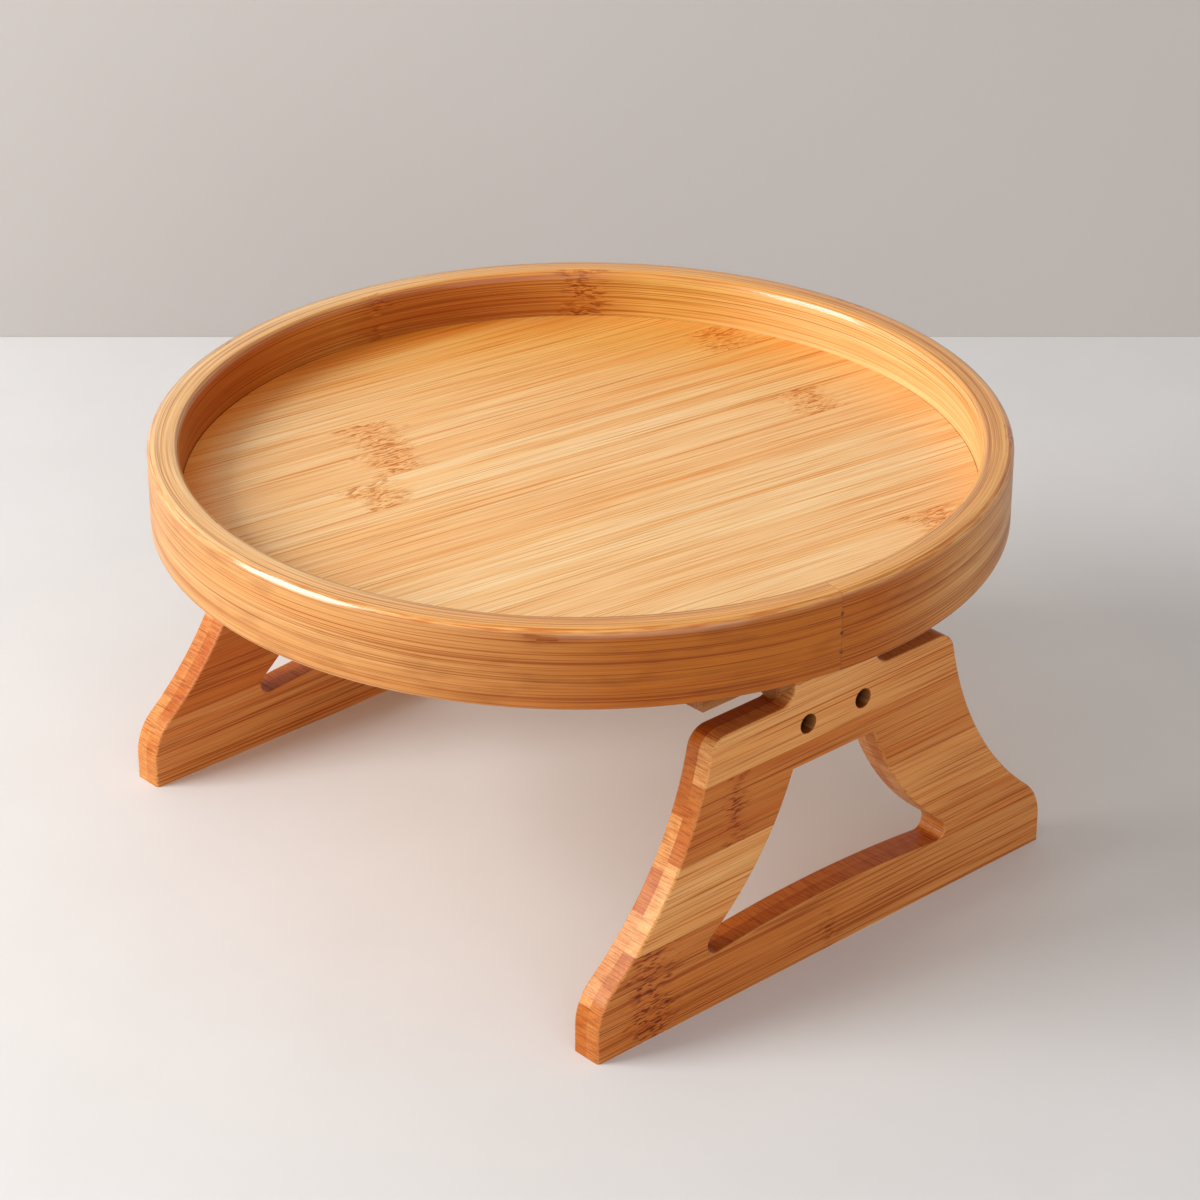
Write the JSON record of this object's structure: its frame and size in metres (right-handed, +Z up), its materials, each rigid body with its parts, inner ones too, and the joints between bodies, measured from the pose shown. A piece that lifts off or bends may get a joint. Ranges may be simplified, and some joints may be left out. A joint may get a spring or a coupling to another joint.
{
  "type": "sofa arm tray",
  "caption": "Round bamboo tray with a raised rim on hinged, sprung leg-clamps that straddle a sofa's arm and fold flat under the tray.",
  "frame": {"origin": "on the surface that the legs stand on, under the tray's centre", "axes": "+Z up along the tray's axis, +X towards the right leg, +Y along the hinge pins"},
  "size_m": [0.3, 0.3, 0.153],
  "materials": {
    "bamboo_rim": "semi-gloss clear lacquer",
    "bamboo_floor": "semi-gloss clear lacquer",
    "bamboo_leg": "semi-gloss clear lacquer",
    "bamboo_hinge": "plain sanded bamboo",
    "steel": "zinc-plated steel",
    "spring_steel": "bright spring wire"
  },
  "bodies": {
    "tray": {"tray_rim": "bamboo_rim", "tray_floor": "bamboo_floor", "rim_brads": "steel", "right_hinge_board": "bamboo_hinge", "right_board_screws": "steel", "right_hinge_pin": "steel", "right_rear_knuckle": "bamboo_hinge", "right_front_knuckle": "bamboo_hinge", "right_rear_spring": "spring_steel", "right_front_spring": "spring_steel", "left_hinge_board": "bamboo_hinge", "left_board_screws": "steel", "left_hinge_pin": "steel", "left_rear_knuckle": "bamboo_hinge", "left_front_knuckle": "bamboo_hinge", "left_rear_spring": "spring_steel", "left_front_spring": "spring_steel"},
    "right_clamp": {"right_leg": "bamboo_leg"},
    "left_clamp": {"left_leg": "bamboo_leg"}
  },
  "joints": [
    {"name": "right_clamp_hinge", "type": "hinge", "parent": "tray", "child": "right_clamp", "pos_m": [0.121, 0, 0.1116], "axis": [0, 1, 0], "range_deg": [-30, 90], "stiffness_Nm_per_rad": 0.5, "deforming": ["right_rear_spring", "right_front_spring"]},
    {"name": "left_clamp_hinge", "type": "hinge", "parent": "tray", "child": "left_clamp", "pos_m": [-0.121, 0, 0.1116], "axis": [0, -1, 0], "range_deg": [-30, 90], "stiffness_Nm_per_rad": 0.5, "deforming": ["left_rear_spring", "left_front_spring"]}
  ]
}
